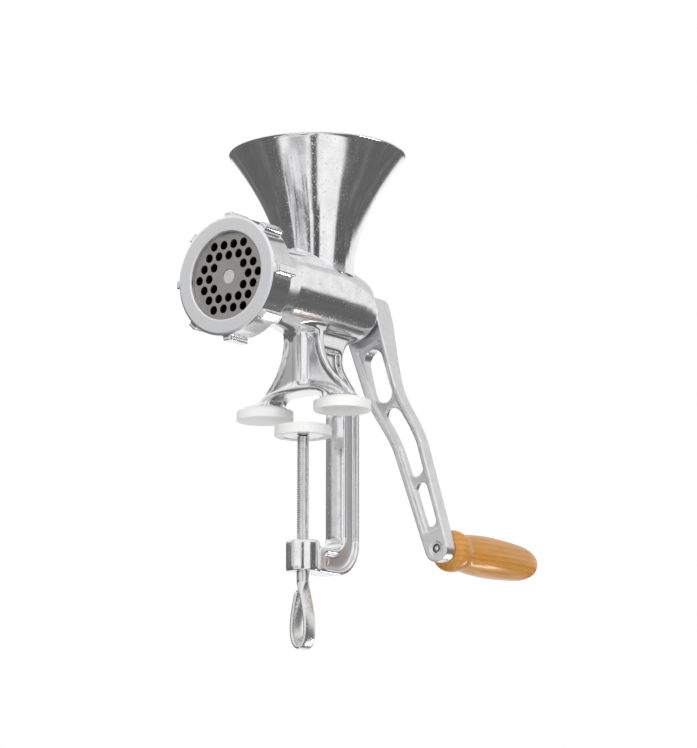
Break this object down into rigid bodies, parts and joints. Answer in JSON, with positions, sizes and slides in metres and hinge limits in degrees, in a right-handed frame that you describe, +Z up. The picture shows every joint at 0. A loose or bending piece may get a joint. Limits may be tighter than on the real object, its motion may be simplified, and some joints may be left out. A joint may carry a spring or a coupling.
{
  "type": "manual meat grinder",
  "caption": "Hand-cranked cast aluminium meat grinder with a flared hopper, perforated cutting plate, wooden crank handle and a screw clamp for a table edge.",
  "frame": {"origin": "on the table top that the feet stand on, at the axis of the clamp screw, midway between the feet", "axes": "+Z up, out of the hopper; +Y backwards along the barrel to the crank; the cutting plate faces -Y; +X to the right seen from the plate side"},
  "size_m": [0.1043, 0.2199, 0.2743],
  "materials": {
    "cast_aluminium": "cast and tumbled",
    "polished_aluminium": "polished",
    "bright_steel": "ground",
    "zinc_steel": "zinc plated",
    "white_plastic": "moulded, slightly translucent",
    "wood": "turned and lacquered"
  },
  "bodies": {
    "housing": {"grinding_barrel": "cast_aluminium", "hopper": "polished_aluminium", "clamp_stand": "cast_aluminium", "plate_key_pin": "bright_steel", "foot_pad_left": "white_plastic", "foot_pad_right": "white_plastic", "thrust_washer": "white_plastic"},
    "drive": {"auger": "cast_aluminium", "auger_stud": "bright_steel", "knife": "bright_steel", "crank_arm": "cast_aluminium", "handle_axle": "bright_steel", "axle_washer": "zinc_steel"},
    "handle": {"handle_grip": "wood"},
    "crank_washer": {"crank_washer": "zinc_steel"},
    "thumb_screw": {"thumb_screw_head": "cast_aluminium", "thumb_screw_stud": "zinc_steel"},
    "cutting_plate": {"cutting_plate": "bright_steel"},
    "ring_nut": {"ring_nut": "cast_aluminium"},
    "clamp_pad": {"swivel_plate": "zinc_steel", "clamp_pad": "white_plastic"},
    "clamp_screw": {"clamp_screw": "zinc_steel"}
  },
  "joints": [
    {"name": "crank_turn", "type": "hinge", "parent": "housing", "child": "drive", "pos_m": [0, 0, 0.0654], "axis": [0, -1, 0], "continuous": true},
    {"name": "handle_spin", "type": "hinge", "parent": "drive", "child": "handle", "pos_m": [0.04377, 0.075, -0.06853], "axis": [0, 1, 0], "continuous": true},
    {"name": "washer_slide", "type": "slide", "parent": "drive", "child": "crank_washer", "axis": [0, 1, 0], "range_m": [0, 0.012]},
    {"name": "thumb_screw_turn", "type": "hinge", "parent": "crank_washer", "child": "thumb_screw", "pos_m": [0, 0.065, 0.0654], "axis": [0, 1, 0], "range_deg": [0, 4320]},
    {"name": "plate_slide", "type": "slide", "parent": "housing", "child": "cutting_plate", "axis": [0, -1, 0], "range_m": [0, 0.011]},
    {"name": "ring_turn", "type": "hinge", "parent": "cutting_plate", "child": "ring_nut", "pos_m": [0, -0.065, 0.0654], "axis": [0, -1, 0], "range_deg": [0, 1980]},
    {"name": "pad_slide", "type": "slide", "parent": "housing", "child": "clamp_pad", "axis": [0, 0, 1], "range_m": [-0.05, 0.005]},
    {"name": "screw_turn", "type": "hinge", "parent": "clamp_pad", "child": "clamp_screw", "pos_m": [0, 0, -0.05], "axis": [0, 0, 1], "range_deg": [-14400, 1440]}
  ],
  "couplings": [
    {"joint": "washer_slide", "follows": "thumb_screw_turn", "m_per_rad": 0.00015915},
    {"joint": "plate_slide", "follows": "ring_turn", "m_per_rad": 0.00031831},
    {"joint": "pad_slide", "follows": "screw_turn", "m_per_rad": 0.00019894}
  ]
}
